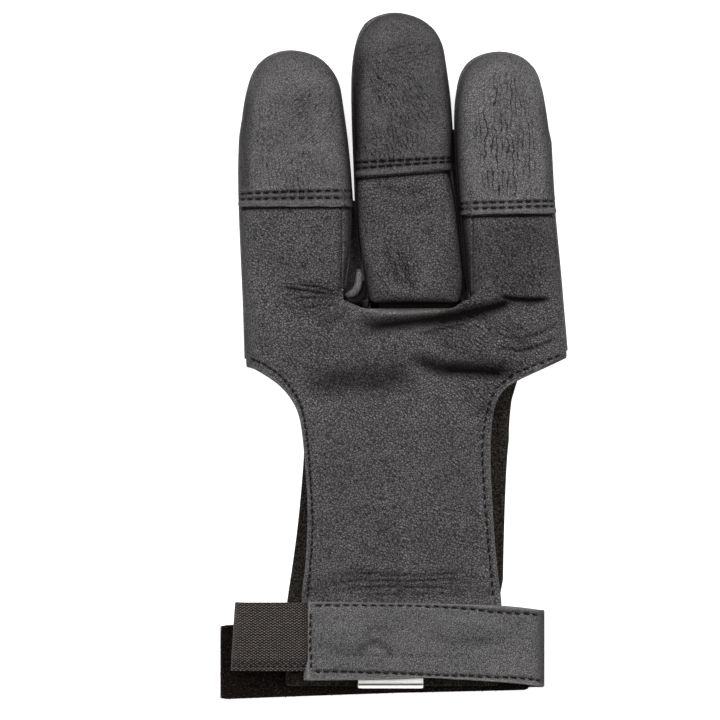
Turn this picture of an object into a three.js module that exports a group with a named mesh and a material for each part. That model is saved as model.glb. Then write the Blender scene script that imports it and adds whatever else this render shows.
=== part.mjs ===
// Archery glove: a shooting glove with three finger stalls, lying on its back with the palm side up.
// Millimetres. +Y runs to the fingertips, +X to the right of someone who looks at the palm, +Z up.
// The drawing starts at the crotch line, y = 0, where the fingers part. The whole glove is then set
// with the middle of its footprint at the origin.
import * as THREE from 'three';
import { mergeVertices } from 'three/addons/utils/BufferGeometryUtils.js';

// Walls and gaps
const palmWall = 1.1;
const tipWall = 1.1;
const backWall = 1.2;
const strapWall = 1.2;
const cloth = 1.0;
const ribbonWall = 0.4;
const clearance = 0.3;

// Heights over the surface that the glove lies on
const seamHeight = 6;
const stallHeight = 12.5;
const palmHeight = 11.3;

// Finger stalls: length from the crotch line to the tip, greatest width, place of the middle line,
// length of the reinforced tip, depth of the rounded end
const stalls = {
  left: { length: 74.8, width: 34.4, across: -29.8, tipLength: 46.8, roundEnd: 14.9 },
  middle: { length: 85.7, width: 31.6, across: 6.6, tipLength: 47.7, roundEnd: 14.1 },
  right: { length: 74.4, width: 29.3, across: 36.8, tipLength: 48.6, roundEnd: 14.7 },
};

// Sections of each stall: up is a share of the length below the rounded end, width and lean are
// shares of the stall's width
stalls.left.sections = [
  { up: 0.0, width: 0.89, lean: 0.0 },
  { up: 0.24, width: 0.967, lean: 0.021 },
  { up: 0.45, width: 1.0, lean: 0.022 },
  { up: 0.6, width: 0.982, lean: 0.013 },
  { up: 0.7, width: 0.972, lean: 0.006 },
  { up: 0.9, width: 0.912, lean: -0.003 },
  { up: 1.0, width: 0.866, lean: -0.009 },
];
stalls.middle.sections = [
  { up: 0.0, width: 0.94, lean: 0.0 },
  { up: 0.1, width: 0.985, lean: -0.008 },
  { up: 0.25, width: 1.0, lean: -0.055 },
  { up: 0.39, width: 0.985, lean: -0.085 },
  { up: 0.5, width: 0.932, lean: -0.106 },
  { up: 0.68, width: 0.931, lean: -0.124 },
  { up: 0.79, width: 0.915, lean: -0.137 },
  { up: 0.92, width: 0.886, lean: -0.156 },
  { up: 1.0, width: 0.836, lean: -0.167 },
];
stalls.right.sections = [
  { up: 0.0, width: 0.98, lean: 0.0 },
  { up: 0.18, width: 0.985, lean: -0.028 },
  { up: 0.35, width: 0.975, lean: -0.059 },
  { up: 0.46, width: 0.98, lean: -0.082 },
  { up: 0.65, width: 0.984, lean: -0.11 },
  { up: 0.81, width: 0.994, lean: -0.127 },
  { up: 0.92, width: 0.973, lean: -0.134 },
  { up: 1.0, width: 0.942, lean: -0.141 },
];

// How full the round of a stall is: 2 is an ellipse, more is squarer
const frontFullness = 2.4;
const backFullness = 3.6;

// The back leather shows past the front at the tips, up and to the left
const backPeek = { x: -0.4, y: 0.4 };

// The finger fronts lie this far inside the tips' outer face, and deeper where a tip laps over them
const frontSink = 0.5;
const lap = 7;
const lapSink = tipWall + clearance;
const lapSlope = 0.9;

// Palm: lengths of its side seams, their flare, and the roll of its edge under the middle finger
const leftSeam = 20.1;
const rightSeam = 17.3;
const leftFlare = 0.6;
const rightFlare = 1.5;
const rimRoll = 2.8;
const rimDepth = 2.4;
const crotchRise = 13;
const crotchFloor = 0.33;

// Cut-outs beside the tongue, and the tongue itself
const leftCut = { length: 23.7, depth: 18.6 };
const rightCut = { length: 25.6, depth: 23.1 };
const tongueLength = 66.6;

// Band round the wrist: strap, elastic, and the places of their ends
const bandTop = -90.3;
const strapWidth = 22.7;
const strapStart = -25.4;
const strapFold = 45.6;
const strapEnd = -51.9;
const strapDrop = 2.8;
const strapFlapDrop = 7.35;
const foldDepth = 5;
const elasticWidth = 20.4;
const elasticFold = -48.4;
const elasticTuck = 5.4;
const liningMargin = 0.5;

// Hand back, hook tape and size label
const handBackTop = -11.5;
const handBackLap = 4.5;
const handBackBottom = -115.9;
const handBackLeftEdge = -32.1;
const hookLength = 40;
const hookWidth = 22.5;
const labelLeft = -10.5;
const labelWidth = 19.5;
const labelUpperLeaf = 1.6;
const labelLowerLeaf = 3.3;

// Heights of the layers at the wrist, from the surface up
const liningBase = strapWall + clearance;
const hookBase = liningBase + cloth + clearance;
const handBackBase = hookBase + cloth + clearance;
const strapTop = palmHeight + clearance + strapWall;
const elasticTop = strapTop - strapWall - clearance;

const { lerp, smoothstep, clamp } = THREE.MathUtils;

// Fall of a rounded edge: 1 over the middle, 0 at the edge, where t is 1
function round(t, fullness) {
  return Math.pow(Math.max(0, 1 - Math.pow(Math.abs(t), fullness)), 1 / fullness);
}

// Steps from -1 to 1 that lie closer together towards both ends
function spread(count, fullness) {
  return Array.from({ length: count + 1 }, (_, k) => {
    const t = (2 * k) / count - 1;
    return Math.sign(t) * Math.pow(Math.sin((Math.abs(t) * Math.PI) / 2), 2 / fullness);
  });
}

// Value of a column of a table at a place between its rows
function between(table, key, at, column) {
  const next = table.findIndex((row) => row[key] >= at);
  if (next === 0) return table[0][column];
  if (next < 0) return table[table.length - 1][column];
  const [low, high] = [table[next - 1], table[next]];
  const share = (at - low[key]) / (high[key] - low[key]);
  return lerp(low[column], high[column], share * share * (3 - 2 * share) * 0.4 + share * 0.6);
}

// A closed wall: an outer skin over a grid of points, an inner skin one thickness behind it, and rims.
// skin(i, j) gives the outer point, has(i, j) says whether a cell is there, settle moves inner points
// that would leave the piece's own side of a seam.
function wall(columns, rows, thickness, skin, options = {}) {
  const { has = () => true, settle = (point) => point, facesDown = false } = options;
  const across = columns + 1;
  const outer = [];
  for (let j = 0; j <= rows; j += 1) {
    for (let i = 0; i <= columns; i += 1) outer.push(skin(i, j));
  }
  const faces = [];
  for (let j = 0; j < rows; j += 1) {
    for (let i = 0; i < columns; i += 1) {
      if (has(i, j)) {
        const a = j * across + i;
        const [b, c, d] = [a + 1, a + across + 1, a + across];
        const split = i * 2 < columns ? [[a, b, d], [b, c, d]] : [[a, b, c], [a, c, d]];
        split.forEach((face) => faces.push(facesDown ? face.reverse() : face));
      }
    }
  }

  const normals = outer.map(() => new THREE.Vector3());
  const edges = new Map();
  faces.forEach((face) => {
    const [p, q, r] = face.map((k) => outer[k]);
    const normal = q.clone().sub(p).cross(r.clone().sub(p));
    face.forEach((k, side) => {
      normals[k].add(normal);
      edges.set(`${k} ${face[(side + 1) % 3]}`, [k, face[(side + 1) % 3]]);
    });
  });
  const inner = outer.map((point, k) => {
    return settle(point.clone().addScaledVector(normals[k].normalize(), -thickness));
  });

  const shift = outer.length;
  const triangles = faces.flatMap(([a, b, c]) => [a, b, c, shift + a, shift + c, shift + b]);
  edges.forEach(([a, b]) => {
    if (!edges.has(`${b} ${a}`)) triangles.push(b, a, shift + a, b, shift + a, shift + b);
  });

  const geometry = new THREE.BufferGeometry();
  const used = [...outer, ...inner].flatMap((point) => point.toArray());
  geometry.setAttribute('position', new THREE.Float32BufferAttribute(used, 3));
  geometry.setIndex(triangles);
  return mergeVertices(geometry.toNonIndexed(), 1e-4);
}

// Half width and middle line of a stall at a height over the crotch line
function stallHalf(stall, y) {
  const up = clamp(y / (stall.length - stall.roundEnd), 0, 1);
  return (between(stall.sections, 'up', up, 'width') * stall.width) / 2;
}

function stallMiddle(stall, y) {
  const up = clamp(y / (stall.length - stall.roundEnd), 0, 1);
  return stall.across + between(stall.sections, 'up', up, 'lean') * stall.width;
}

// Side edge of the finger front at the crotch line; side is -1 or 1
function stallEdge(stall, side) {
  return stallMiddle(stall, 0) + side * (stallHalf(stall, 0) - frontSink);
}

// A point of a stall's straight stretch, sink deep inside the tip's outer face.
// side is 1 for the front over the seam and -1 for the back under it.
function stallPoint(stall, u, y, sink, side) {
  const reach = side > 0 ? stallHeight - seamHeight - sink : seamHeight - clearance;
  const fullness = side > 0 ? frontFullness : backFullness;
  const base = side > 0 ? seamHeight : seamHeight - clearance;
  const x = stallMiddle(stall, y) + u * (stallHalf(stall, y) - sink);
  return new THREE.Vector3(x, y, base + side * reach * round(u, fullness));
}

// A point of a stall's rounded end: a square grid, -1 to 1 across and 0 to 1 up, drawn to half a disc
function endPoint(stall, u, v, side) {
  const reach = side > 0 ? stallHeight - seamHeight : seamHeight - clearance;
  const fullness = side > 0 ? frontFullness : backFullness;
  const base = side > 0 ? seamHeight : seamHeight - clearance;
  const start = stall.length - stall.roundEnd;
  const discX = u * Math.sqrt(1 - (v * v) / 2);
  const discY = v * Math.sqrt(1 - (u * u) / 2);
  const x = stallMiddle(stall, start) + discX * stallHalf(stall, start);
  const z = base + side * reach * round(Math.min(1, Math.hypot(discX, discY)), fullness);
  return new THREE.Vector3(x, start + discY * stall.roundEnd, z);
}

const aboveSeam = (point) => point.setZ(Math.max(point.z, seamHeight));
const belowSeam = (point) => point.setZ(Math.min(point.z, seamHeight - clearance));

// Reinforced tips
const tipColumns = 10;
const tipEndRows = 5;
const tipSteps = [0, 0.04, 0.25, 0.5, 0.75, 1];

function tipGeometry(stall) {
  const steps = spread(tipColumns, frontFullness);
  const climbs = spread(2 * tipEndRows, frontFullness).slice(tipEndRows);
  const foot = stall.length - stall.tipLength;
  const start = stall.length - stall.roundEnd;
  const straight = tipSteps.length - 1;
  return wall(tipColumns, straight + tipEndRows, tipWall, (i, j) => {
    if (j > straight) return endPoint(stall, steps[i], climbs[j - straight], 1);
    return stallPoint(stall, steps[i], lerp(foot, start, tipSteps[j]), 0, 1);
  }, { settle: aboveSeam });
}

// How deep a finger front lies under the tip's outer face: it dives just below the tip's edge
function frontDepth(stall, y) {
  const foot = stall.length - stall.tipLength;
  return lerp(frontSink, lapSink, smoothstep(y, foot - clearance - lapSlope, foot - clearance));
}

// Rows of a finger front from the crotch line to the end of its lap under the tip
function frontRows(stall, shares) {
  const foot = stall.length - stall.tipLength;
  const top = foot - clearance - lapSlope;
  return [...shares.map((share) => share * top), top, foot - clearance, foot + lap];
}

// Front of the middle finger. Its lower end rolls down into the seam with the palm, and its sewn
// margin runs on under the palm's rolled edge.
const middleShares = [0.12, 0.25, 0.42, 0.6, 0.8];
const middleRoll = 3;
const middleMargin = [
  { down: 0.25, drop: 0.05, width: 0.985 },
  { down: 0.7, drop: 0.3, width: 0.95 },
  { down: 0.95, drop: 0.62, width: 0.88 },
  { down: 1.05, drop: 1.0, width: 0.78 },
  { down: 1.7, drop: 1.12, width: 0.7 },
  { down: 2.9, drop: 1.12, width: 0.68 },
];
const middleFlange = stallHeight - frontSink - rimDepth - palmWall / 2 - clearance;

function middleFrontGeometry() {
  const stall = stalls.middle;
  const steps = spread(tipColumns, frontFullness);
  const rows = frontRows(stall, middleShares);
  const margin = [...middleMargin].reverse();
  return wall(tipColumns, rows.length + margin.length - 1, palmWall, (i, j) => {
    if (j >= margin.length) {
      const y = rows[j - margin.length];
      return stallPoint(stall, steps[i], y, frontDepth(stall, y), 1);
    }
    const { down, drop, width } = margin[j];
    const point = stallPoint(stall, steps[i], 0, frontSink, 1);
    const fall = Math.min(1, drop);
    const x = lerp(stallMiddle(stall, 0), point.x, width);
    const foot = lerp(point.z, middleFlange, fall) - (drop - fall);
    return new THREE.Vector3(x, middleRoll * (0.8 - down), foot);
  }, { settle: aboveSeam });
}

// Columns of the palm and of the finger backs: those of the three stalls, with a narrow cell between
function gloveColumns(counts, fullness) {
  return Object.keys(counts).flatMap((name) => spread(counts[name], fullness).map((u) => ({ name, u })));
}

// Rows of the palm between its corners and the crotch, as shares of the side seams
const palmRows = [1.0, 0.9, 0.78, 0.66, 0.54, 0.44, 0.35, 0.27, 0.21, 0.165, 0.14];

// Rows of the cut-outs: down is a share of the cut's length and in of its depth
const cutRows = [
  { leftDown: 0.06, leftIn: 0.24, rightDown: 0.131, rightIn: 0.338 },
  { leftDown: 0.196, leftIn: 0.507, rightDown: 0.272, rightIn: 0.675 },
  { leftDown: 0.354, leftIn: 0.7, rightDown: 0.366, rightIn: 0.831 },
  { leftDown: 0.532, leftIn: 0.83, rightDown: 0.507, rightIn: 0.929 },
  { leftDown: 0.72, leftIn: 0.89, rightDown: 0.7, rightIn: 0.978 },
  { leftDown: 1.0, leftIn: 0.93, rightDown: 1.0, rightIn: 1.0 },
];

// Rows of the tongue below the cut-outs: down is a share of its length, left and right are how far
// each edge stands out from the end of its cut-out, as shares of the cut's depth
const tongueRows = [
  { down: 0.1, left: -0.03, right: 0.0 },
  { down: 0.25, left: -0.07, right: 0.02 },
  { down: 0.42, left: -0.06, right: 0.05 },
  { down: 0.57, left: -0.02, right: 0.09 },
  { down: 0.64, left: 0.02, right: 0.12 },
  { down: 0.69, left: 0.03, right: 0.14 },
  { down: 0.74, left: 0.03, right: 0.145 },
  { down: 0.86, left: 0.03, right: 0.145 },
  { down: 1.0, left: 0.03, right: 0.145 },
];

// Folds of the palm: ends as shares of the palm's width from the middle and of its length below the
// crotch line, width and depth in shares of the stall's height
const palmFolds = [
  { x0: -0.09, y0: 0.062, x1: 0.22, y1: 0.045, width: 0.13, depth: 0.075 },
  { x0: 0.22, y0: 0.045, x1: 0.36, y1: 0.01, width: 0.12, depth: 0.07 },
  { x0: 0.34, y0: -0.008, x1: 0.46, y1: -0.004, width: 0.09, depth: 0.03 },
  { x0: 0.1, y0: 0.16, x1: 0.2, y1: 0.196, width: 0.14, depth: 0.06 },
  { x0: 0.2, y0: 0.196, x1: 0.38, y1: 0.206, width: 0.15, depth: 0.07 },
  { x0: -0.29, y0: 0.245, x1: 0.12, y1: 0.19, width: 0.36, depth: 0.06 },
  { x0: -0.26, y0: 0.755, x1: 0.26, y1: 0.76, width: 0.1, depth: 0.02 },
  { x0: -0.26, y0: 0.785, x1: 0.24, y1: 0.79, width: 0.1, depth: 0.025 },
];

const leftEdge = stallEdge(stalls.left, -1);
const rightEdge = stallEdge(stalls.right, 1);
const palmWidth = rightEdge - leftEdge;
const leftCornerX = leftEdge + leftFlare;
const rightCornerX = rightEdge + rightFlare;
const tongueTopLeft = leftSeam + leftCut.length;
const tongueTopRight = rightSeam + rightCut.length;
const palmLength = tongueTopLeft + tongueLength;

// Depth of the palm's folds at a place
function foldDip(x, y) {
  return palmFolds.reduce((dip, fold) => {
    const from = new THREE.Vector2(fold.x0 * palmWidth, -fold.y0 * palmLength);
    const along = new THREE.Vector2(fold.x1 * palmWidth, -fold.y1 * palmLength).sub(from);
    const share = (x - from.x) * along.x + (y - from.y) * along.y;
    const near = clamp(share / along.lengthSq(), 0, 1);
    const away = Math.hypot(x - from.x - near * along.x, y - from.y - near * along.y);
    return dip + fold.depth * stallHeight * Math.exp(-((away / (fold.width * stallHeight)) ** 2));
  }, 0);
}

// Ends of the palm's rows, from the tongue's end up to the crotch: two corners and how evenly the
// columns are spread between them
function palmRowEnds() {
  const rows = palmRows.map((share) => ({
    left: [leftEdge + leftFlare * share, -leftSeam * share],
    right: [rightEdge + rightFlare * share, -rightSeam * share],
    even: 0.4 * smoothstep(share, 0.3, 1),
  }));
  const cuts = cutRows.map(({ leftDown, leftIn, rightDown, rightIn }) => ({
    left: [leftCornerX + leftIn * leftCut.depth, -leftSeam - leftDown * leftCut.length],
    right: [rightCornerX - rightIn * rightCut.depth, -rightSeam - rightDown * rightCut.length],
    even: lerp(0.4, 1, leftDown),
  }));
  const foot = cuts[cuts.length - 1];
  const tongue = tongueRows.map(({ down, left, right }) => ({
    left: [foot.left[0] - left * leftCut.depth, -tongueTopLeft - down * tongueLength],
    right: [foot.right[0] + right * rightCut.depth, -lerp(tongueTopRight, palmLength, down)],
    even: 1,
  }));
  return [...tongue.reverse(), ...cuts.reverse(), ...rows];
}

// The palm: one piece with the fronts of the outer two fingers and the tongue that runs to the wrist
const palmCounts = { left: 10, middle: 8, right: 10 };
const stallShares = [0.1, 0.3, 0.55, 0.8];

function palmGeometry() {
  const columns = gloveColumns(palmCounts, frontFullness);
  const ends = palmRowEnds();
  const crotchRow = ends.length - 1;
  const stallRows = {
    left: frontRows(stalls.left, stallShares),
    right: frontRows(stalls.right, stallShares),
  };
  const places = columns.map(({ name, u }) => {
    const stall = stalls[name];
    return stallMiddle(stall, 0) + u * (stallHalf(stall, 0) - frontSink);
  });
  const leftRound = stallHalf(stalls.left, 0) - frontSink;
  const rightRound = stallHalf(stalls.right, 0) - frontSink;
  const tuckEnd = strapStart + elasticTuck + clearance;

  // Height share of the palm at a column: rounded at the side seams and towards the crotches
  function swell(x, y, { name, u }) {
    const fromLeft = round(clamp(1 - (x - leftCornerX) / leftRound, 0, 1), frontFullness);
    const fromRight = round(clamp(1 - (rightCornerX - x) / rightRound, 0, 1), frontFullness);
    const crotch = -leftSeam * palmRows[palmRows.length - 1];
    const lift = lerp(crotchFloor, 1, smoothstep(crotch - y, 0, crotchRise));
    const inside = name === 'middle' || (name === 'left' ? u > 0 : u < 0);
    const parted = inside ? lift + (1 - lift) * round(u, frontFullness) : 1;
    const t = clamp((crotch - y) / rimRoll, 0, 1);
    const rim = name === 'middle' ? Math.sqrt(1 - (1 - t) ** 2) : 1;
    const rimFloor = Math.min(parted, 1 - rimDepth / (stallHeight - frontSink - seamHeight));
    return Math.min(fromLeft, fromRight, lerp(rimFloor, parted, rim));
  }

  function palmPoint(i, j) {
    const { left, right, even } = ends[j];
    const atCrotch = (places[i] - leftEdge) / palmWidth;
    const across = lerp(atCrotch, i / (columns.length - 1), even);
    const x = lerp(left[0], right[0], across);
    const y = lerp(left[1], right[1], across);
    const top = lerp(stallHeight - frontSink, palmHeight, smoothstep(-y, 0, leftSeam));
    const tucked = smoothstep(tuckEnd + 4 - x, 0, 4) * smoothstep(bandTop + 4 - y, 0, 4);
    const share = swell(x, y, columns[i]);
    const height = seamHeight + (top - seamHeight - foldDip(x, y)) * share;
    return new THREE.Vector3(x, y, height - tucked * (cloth + clearance));
  }

  function skin(i, j) {
    if (j <= crotchRow) return palmPoint(i, j);
    const { name, u } = columns[i];
    if (name === 'middle') return palmPoint(i, crotchRow);
    const stall = stalls[name];
    const y = stallRows[name][j - crotchRow - 1];
    const point = stallPoint(stall, u, y, frontDepth(stall, y), 1);
    return point.setZ(point.z - foldDip(point.x, y) * round(u, frontFullness));
  }

  const parted = (i) => i < palmCounts.left || i >= palmCounts.left + palmCounts.middle + 2;
  const rows = crotchRow + stallRows.left.length;
  return wall(columns.length - 1, rows, palmWall, skin, {
    has: (i, j) => j < crotchRow || parted(i),
    settle: aboveSeam,
  });
}

// The finger backs: one piece under the three stalls and over the knuckles
const backCounts = { left: 6, middle: 6, right: 6 };
const backEndRows = 4;
const backShares = [0.1, 0.3, 0.5, 0.7, 0.88, 1];
const knuckleRows = [0.88, 0.6, 0.35, 0.14, 0];
const backCrotchFloor = 0.28;

function fingerBacksGeometry() {
  const columns = gloveColumns(backCounts, backFullness);
  const climbs = spread(2 * backEndRows, backFullness).slice(backEndRows);
  const crotchRow = knuckleRows.length - 1;
  const width = stallMiddle(stalls.right, 0) + stallHalf(stalls.right, 0);
  const start = stallMiddle(stalls.left, 0) - stallHalf(stalls.left, 0);

  function knucklePoint({ name, u }, share) {
    const stall = stalls[name];
    const across = (stallMiddle(stall, 0) + u * stallHalf(stall, 0) - start) / (width - start);
    const x = lerp(start + leftFlare * share, width + rightFlare * share, across);
    const y = -share * lerp(leftSeam, rightSeam, across);
    const lift = lerp(backCrotchFloor, 1, smoothstep(share, 0, 0.6));
    const outside = (name === 'left' && u < 0) || (name === 'right' && u > 0);
    const swell = outside ? round(u, backFullness) : lift + (1 - lift) * round(u, backFullness);
    return new THREE.Vector3(x, y, (seamHeight - clearance) * (1 - swell));
  }

  function skin(i, j) {
    const { name, u } = columns[i];
    if (j <= crotchRow) return knucklePoint(columns[i], knuckleRows[j]);
    const stall = stalls[name];
    const step = j - crotchRow - 1;
    const straight = step < backShares.length;
    const y = backShares[Math.min(step, backShares.length - 1)] * (stall.length - stall.roundEnd);
    const climb = climbs[Math.max(0, step - backShares.length + 1)];
    const point = straight ? stallPoint(stall, u, y, 0, -1) : endPoint(stall, u, climb, -1);
    const peek = straight ? y / (stall.length - stall.roundEnd) : 1;
    return point.add(new THREE.Vector3(backPeek.x * peek, backPeek.y * peek, 0));
  }

  const gaps = [backCounts.left, backCounts.left + backCounts.middle + 1];
  return wall(columns.length - 1, crotchRow + backShares.length + backEndRows, backWall, skin, {
    has: (i, j) => j < crotchRow || !gaps.includes(i),
    settle: belowSeam,
    facesDown: true,
  });
}

// Hand back: edges as shares of the palm's width from its middle, down as a share of its length,
// raised over the finger backs' margin at the top and over the strap's flap at the wrist
const handBackRows = [
  { down: 1.0, left: null, right: 0.33 },
  { down: 0.9, left: null, right: 0.33 },
  { down: 0.79, left: null, right: 0.33 },
  { down: 0.745, left: -0.332, right: 0.332 },
  { down: 0.69, left: -0.322, right: 0.333 },
  { down: 0.53, left: -0.298, right: 0.337 },
  { down: 0.38, left: -0.284, right: 0.343 },
  { down: 0.3, left: -0.278, right: 0.35 },
  { down: 0.24, left: -0.29, right: 0.36 },
  { down: 0.17, left: -0.31, right: 0.38 },
  { down: 0.11, left: -0.33, right: 0.4 },
  { down: 0.06, left: -0.34, right: 0.42 },
  { down: 0.03, left: -0.345, right: 0.425 },
  { down: 0.0, left: -0.35, right: 0.43 },
];

function handBackGeometry() {
  const columns = 8;
  const length = handBackTop - handBackBottom;
  return wall(columns, handBackRows.length - 1, cloth, (i, j) => {
    const { down, left, right } = handBackRows[j];
    const edge = left === null ? handBackLeftEdge : left * palmWidth;
    const y = handBackTop - down * length;
    const lapped = 1 - smoothstep(handBackTop - y, handBackLap + 1, handBackLap + 5);
    const raised = smoothstep(-y, -bandTop - 7, -bandTop - 1);
    const base = lapped * (backWall + clearance) + raised * handBackBase;
    return new THREE.Vector3(lerp(edge, right * palmWidth, i / columns), y, base);
  }, { facesDown: true });
}

// A route round the wrist, seen from the fingers: the front run, a half-round fold and the back run.
// It goes from the front's end over the fold to the back's end; height is of the outer face.
function foldedRoute({ front, fold, back, top, base, frontSteps, foldSteps, backSteps }) {
  const side = Math.sign(fold - front);
  const turn = fold - side * foldDepth;
  const route = [];
  for (let k = 0; k < frontSteps; k += 1) route.push([lerp(front, turn, k / frontSteps), top]);
  for (let k = 0; k <= foldSteps; k += 1) {
    const angle = (Math.PI * k) / foldSteps;
    const rise = (top - base) / 2;
    route.push([turn + side * foldDepth * Math.sin(angle), base + rise + rise * Math.cos(angle)]);
  }
  for (let k = 1; k <= backSteps; k += 1) route.push([lerp(turn, back, k / backSteps), base]);
  return route;
}

// Width of the strap along its front and its flap, as shares of the strap's width
const strapWidths = {
  front: [
    { along: 0.0, width: 1.03 },
    { along: 0.2, width: 1.015 },
    { along: 0.4, width: 0.995 },
    { along: 0.5, width: 0.965 },
    { along: 0.62, width: 0.985 },
    { along: 0.8, width: 1.0 },
    { along: 1.0, width: 1.0 },
  ],
  flap: [
    { along: 0.0, width: 1.0 },
    { along: 1.0, width: 0.958 },
  ],
};

// Top edge and width of the strap at a place: it falls to the right, and further on its way back
function strapEdges(x, onFlap) {
  const out = (x - strapStart) / (strapFold - strapStart);
  const home = (strapFold - x) / (strapFold - strapEnd);
  if (onFlap) {
    const fall = lerp(strapDrop, strapFlapDrop, home);
    return { top: bandTop - fall, width: between(strapWidths.flap, 'along', home, 'width') * strapWidth };
  }
  const fall = strapDrop * (0.4 * out + 0.6 * out ** 8);
  return { top: bandTop - fall, width: between(strapWidths.front, 'along', out, 'width') * strapWidth };
}

// Round dimple in the strap's front: place from its left end and under its top edge
const dimple = { along: 20, under: 17, radius: 4.6, depth: 0.7 };
const strapRows = [0, 0.06, 0.35, 0.58, 0.74, 0.9, 1];

function strapGeometry() {
  const route = foldedRoute({
    front: strapStart, fold: strapFold, back: strapEnd, top: strapTop, base: 0,
    frontSteps: 14, foldSteps: 6, backSteps: 8,
  });
  return wall(route.length - 1, strapRows.length - 1, strapWall, (i, j) => {
    const [x, z] = route[i];
    const { top, width } = strapEdges(x, z < strapTop / 2);
    const y = top - width * (1 - strapRows[j]);
    const away = Math.hypot(x - strapStart - dimple.along, y - bandTop + dimple.under) / dimple.radius;
    const dip = z > strapTop / 2 ? dimple.depth * Math.exp(-away * away) : 0;
    return new THREE.Vector3(x, y, z - Math.min(dip, clearance / 2));
  });
}

// Pile lining on the strap's flap
function liningGeometry() {
  const columns = 8;
  const right = strapFold - foldDepth;
  return wall(columns, 1, cloth, (i, j) => {
    const x = lerp(strapEnd + liningMargin, right, i / columns);
    const { top, width } = strapEdges(x, true);
    return new THREE.Vector3(x, top - liningMargin - (1 - j) * (width - 2 * liningMargin), liningBase);
  }, { facesDown: true });
}

// Elastic: front run from under the strap's end, fold at the left, back run to the hand back
function elasticGeometry() {
  const route = foldedRoute({
    front: strapStart + elasticTuck, fold: elasticFold, back: handBackLeftEdge - clearance,
    top: elasticTop, base: handBackBase, frontSteps: 6, foldSteps: 6, backSteps: 2,
  }).reverse();
  return wall(route.length - 1, 2, cloth, (i, j) => {
    const [x, z] = route[i];
    return new THREE.Vector3(x, bandTop - clearance - elasticWidth * (1 - j / 2), z);
  });
}

// Hook tape on the outside of the hand back
function hookGeometry() {
  const columns = 4;
  const rows = 2;
  return wall(columns, rows, cloth, (i, j) => {
    const x = handBackLeftEdge + (hookLength * i) / columns;
    return new THREE.Vector3(x, handBackBottom + clearance + (hookWidth * j) / rows, hookBase);
  }, { facesDown: true });
}

// Size label: a ribbon folded at the tongue's end, with a short leaf over a longer one
function labelGeometry() {
  const top = -palmLength - clearance;
  const strapFoot = bandTop - strapWidth;
  const upper = strapFoot - labelUpperLeaf;
  const lower = strapFoot - labelLowerLeaf;
  const high = strapTop - strapWall - 2 * clearance;
  const low = high - 2 * ribbonWall - clearance;
  const bend = (high - low) / 2;
  const fold = [-0.5, -0.25, 0, 0.25, 0.5].map((turn) => [
    top - bend + bend * Math.cos(turn * Math.PI), low + bend + bend * Math.sin(turn * Math.PI),
  ]);
  const under = [[lower, low], [lerp(lower, top, 0.5), low]];
  const over = [[lerp(upper, top, 0.5), high], [upper, high]];
  const route = [...under, ...fold, ...over];
  return wall(2, route.length - 1, ribbonWall, (i, j) => {
    const [y, z] = route[j];
    return new THREE.Vector3(labelLeft + labelWidth * (i / 2), y, z);
  }, { facesDown: true });
}

// Curled end of leather between the first two fingers: a strip swept along its curl
const tabWidth = 1.9;
const tabThickness = 0.9;
const tabCurl = [
  { x: -10.6, y: 8.4, z: 9.4 },
  { x: -10.8, y: 5.4, z: 8.9 },
  { x: -11.3, y: 2.6, z: 8.2 },
  { x: -12.9, y: 1.2, z: 7.9 },
  { x: -14.0, y: 2.4, z: 8.5 },
];

function tabGeometry() {
  const outline = new THREE.Shape([
    new THREE.Vector2(-tabThickness / 2, -tabWidth / 2), new THREE.Vector2(tabThickness / 2, -tabWidth / 2),
    new THREE.Vector2(tabThickness / 2, tabWidth / 2), new THREE.Vector2(-tabThickness / 2, tabWidth / 2),
  ]);
  const curl = new THREE.CatmullRomCurve3(tabCurl.map(({ x, y, z }) => new THREE.Vector3(x, y, z)));
  return new THREE.ExtrudeGeometry(outline, { steps: 14, extrudePath: curl });
}

// Finishes
const leather = new THREE.MeshStandardMaterial({ color: 0x4b494a, roughness: 0.62, metalness: 0 });
const smoothLeather = new THREE.MeshStandardMaterial({ color: 0x5a5859, roughness: 0.5, metalness: 0 });
const suede = new THREE.MeshStandardMaterial({ color: 0x2b2928, roughness: 0.95, metalness: 0 });
const webbing = new THREE.MeshStandardMaterial({ color: 0x3b3736, roughness: 0.9, metalness: 0 });
const pile = new THREE.MeshStandardMaterial({ color: 0x1a1615, roughness: 1, metalness: 0 });
const ribbon = new THREE.MeshStandardMaterial({ color: 0xd8d2cc, roughness: 0.8, metalness: 0 });

const pieces = [
  ['palm_front', palmGeometry(), leather],
  ['middle_front', middleFrontGeometry(), leather],
  ['left_tip', tipGeometry(stalls.left), smoothLeather],
  ['middle_tip', tipGeometry(stalls.middle), smoothLeather],
  ['right_tip', tipGeometry(stalls.right), smoothLeather],
  ['finger_backs', fingerBacksGeometry(), leather],
  ['hand_back', handBackGeometry(), suede],
  ['wrist_strap', strapGeometry(), smoothLeather],
  ['strap_lining', liningGeometry(), pile],
  ['wrist_elastic', elasticGeometry(), webbing],
  ['hook_tape', hookGeometry(), pile],
  ['size_label', labelGeometry(), ribbon],
  ['crotch_tab', tabGeometry(), leather],
];

const glove = new THREE.Group();
glove.name = 'archery_glove';
pieces.forEach(([name, geometry, material]) => {
  const mesh = new THREE.Mesh(geometry, material);
  mesh.name = name;
  glove.add(mesh);
});

const box = new THREE.Box3().setFromObject(glove);
const middle = box.getCenter(new THREE.Vector3());
glove.position.set(-middle.x, -middle.y, -box.min.z);

export default glove;
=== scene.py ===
"""Looks of the archery glove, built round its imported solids.

Places are in millimetres of the row frame: +Y to the fingertips, +Z up, floor at z = 0.
"""
import math
import random

import bmesh
import bpy
import numpy as np
from mathutils import Matrix, Vector, noise
from mathutils.bvhtree import BVHTree


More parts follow.
